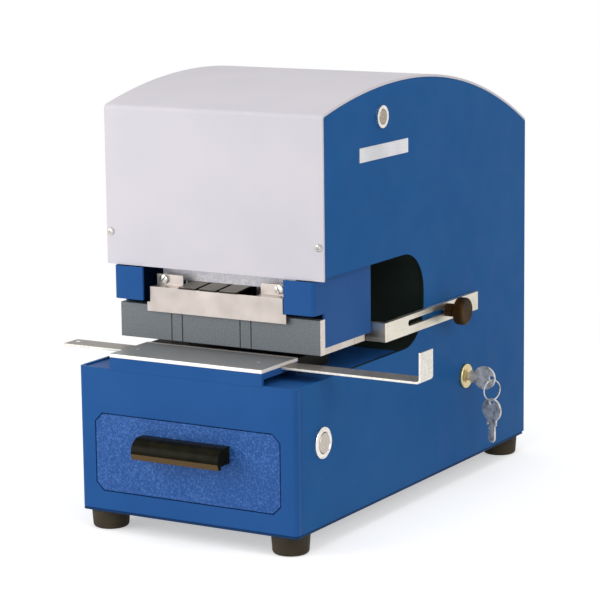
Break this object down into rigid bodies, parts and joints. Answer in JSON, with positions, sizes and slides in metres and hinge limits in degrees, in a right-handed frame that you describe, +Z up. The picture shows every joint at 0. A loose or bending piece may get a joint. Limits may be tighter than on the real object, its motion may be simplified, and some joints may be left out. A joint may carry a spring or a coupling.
{
  "type": "electric desk perforating press",
  "caption": "Desk perforating press: C-shaped blue case with a grey head cover, needle blocks over a paper slot, adjustable side and depth stops, and a chad drawer.",
  "frame": {"origin": "on the floor, under the centre of the case's base, midway between the four rubber feet", "axes": "+X to the operator's right, +Y from the operator to the rear, +Z up"},
  "size_m": [0.327, 0.4175, 0.3544],
  "materials": {
    "blue_paint": "smooth satin blue powder coat",
    "grey_paint": "fine-textured light grey paint",
    "hammer_blue": "textured blue hammer paint",
    "stainless": "satin stainless sheet",
    "table_steel": "ground steel plate with bright edges",
    "machined_steel": "machined steel, lightly oiled",
    "grey_anodised": "dark grey anodised plate",
    "tool_steel": "ground tool steel",
    "black_moulding": "black phenolic moulding",
    "black_plastic": "black nylon",
    "foot_rubber": "moulded rubber",
    "lock_brass": "turned brass",
    "key_nickel": "nickel-plated brass",
    "bright_steel": "bright turned stainless steel",
    "zinc_screw": "zinc-plated screw",
    "plate_silver": "bare satin plate",
    "cast_iron": "machined cast frame",
    "belt_rubber": "timing belt rubber",
    "motor_paint": "dark motor enamel"
  },
  "bodies": {
    "housing": {"left_side_panel": "blue_paint", "right_side_panel": "blue_paint", "front_cover": "grey_paint", "rear_panel": "blue_paint", "case_screws": "zinc_screw", "bottom_plate": "blue_paint", "base_front_panel": "blue_paint", "base_deck": "blue_paint", "throat_liner": "blue_paint", "rubber_feet": "foot_rubber", "foot_screws": "zinc_screw", "table_riser": "blue_paint", "table_plate": "table_steel", "table_screws": "zinc_screw", "die_plate": "tool_steel", "bed_block": "cast_iron", "left_frame_plate": "cast_iron", "right_frame_plate": "cast_iron", "shaft_bearings": "machined_steel", "guide_plate": "machined_steel", "guide_columns": "bright_steel", "stripper_needle_plate": "machined_steel", "stripper_bars": "machined_steel", "stripper_front_plate": "grey_anodised", "punch_shroud": "blue_paint", "motor_shelf": "machined_steel", "gearmotor": "motor_paint", "drive_belt": "belt_rubber", "power_inlet": "black_plastic", "nameplate": "plate_silver", "button_bodies": "bright_steel", "lock_body": "lock_brass", "drawer_rails": "zinc_screw", "clamp_stud": "zinc_screw"},
    "drawer": {"drawer_front": "hammer_blue", "drawer_tray": "machined_steel", "drawer_handle": "black_moulding", "handle_screws": "zinc_screw"},
    "depth_stop": {"depth_stop_bar": "stainless"},
    "clamp_knob": {"clamp_knob": "black_moulding"},
    "side_gauge": {"side_gauge_strip": "stainless"},
    "start_button": {"start_button_cap": "bright_steel"},
    "reset_button": {"reset_button_cap": "bright_steel"},
    "key_switch": {"lock_plug": "lock_brass", "key": "key_nickel"},
    "key_ring": {"key_ring": "key_nickel"},
    "spare_key": {"spare_key": "key_nickel"},
    "eccentric": {"eccentric_shaft": "machined_steel", "drive_pulley": "machined_steel"},
    "motor_drive": {"motor_pulley": "machined_steel"},
    "ram": {"ram_block": "machined_steel", "ram_yoke": "machined_steel", "ram_front_plate": "stainless", "guard_plate": "stainless", "guard_screws": "bright_steel", "needle_cassettes": "tool_steel", "cassette_pin": "bright_steel"},
    "selector_1": {"selector_slide_1": "tool_steel"},
    "selector_2": {"selector_slide_2": "tool_steel"},
    "selector_3": {"selector_slide_3": "tool_steel"}
  },
  "joints": [
    {"name": "drawer_slide", "type": "slide", "parent": "housing", "child": "drawer", "axis": [0, -1, 0], "range_m": [0, 0.15]},
    {"name": "depth_stop_slide", "type": "slide", "parent": "housing", "child": "depth_stop", "axis": [0, 1, 0], "range_m": [0, 0.056]},
    {"name": "clamp_knob_turn", "type": "hinge", "parent": "housing", "child": "clamp_knob", "pos_m": [0.11, 0.0416, 0.155], "axis": [1, 0, 0], "range_deg": [0, 180]},
    {"name": "side_gauge_slide", "type": "slide", "parent": "housing", "child": "side_gauge", "axis": [1, 0, 0], "range_m": [-0.08, 0.06]},
    {"name": "start_button_press", "type": "slide", "parent": "housing", "child": "start_button", "axis": [-1, 0, 0], "range_m": [0, 0.0025], "stiffness_N_per_m": 400, "springref_m": -0.002},
    {"name": "reset_button_press", "type": "slide", "parent": "housing", "child": "reset_button", "axis": [-1, 0, 0], "range_m": [0, 0.0015], "stiffness_N_per_m": 400, "springref_m": -0.002},
    {"name": "key_turn", "type": "hinge", "parent": "housing", "child": "key_switch", "pos_m": [0.103, 0.0823, 0.0907], "axis": [1, 0, 0], "range_deg": [0, 90]},
    {"name": "key_ring_swing", "type": "hinge", "parent": "key_switch", "child": "key_ring", "pos_m": [0.126, 0.0823, 0.0893], "axis": [0, 1, 0], "range_deg": [-20, 10]},
    {"name": "spare_key_swing", "type": "hinge", "parent": "key_ring", "child": "spare_key", "pos_m": [0.126, 0.0823, 0.0719], "axis": [0, 1, 0], "range_deg": [-20, 10]},
    {"name": "eccentric_turn", "type": "hinge", "parent": "housing", "child": "eccentric", "pos_m": [0, -0.1136, 0.262], "axis": [1, 0, 0], "range_deg": [0, 180]},
    {"name": "motor_pulley_turn", "type": "hinge", "parent": "housing", "child": "motor_drive", "pos_m": [0.08, 0.125, 0.235], "axis": [1, 0, 0], "range_deg": [0, 540]},
    {"name": "ram_stroke", "type": "slide", "parent": "housing", "child": "ram", "axis": [0, 0, -1], "range_m": [0, 0.009]},
    {"name": "selector_1_slide", "type": "slide", "parent": "ram", "child": "selector_1", "axis": [0, -1, 0], "range_m": [0, 0.008]},
    {"name": "selector_2_slide", "type": "slide", "parent": "ram", "child": "selector_2", "axis": [0, -1, 0], "range_m": [0, 0.008]},
    {"name": "selector_3_slide", "type": "slide", "parent": "ram", "child": "selector_3", "axis": [0, -1, 0], "range_m": [0, 0.008]}
  ],
  "couplings": [
    {"joint": "eccentric_turn", "follows": "ram_stroke", "rad_per_m": 349.06},
    {"joint": "motor_pulley_turn", "follows": "ram_stroke", "rad_per_m": 1047.2}
  ]
}
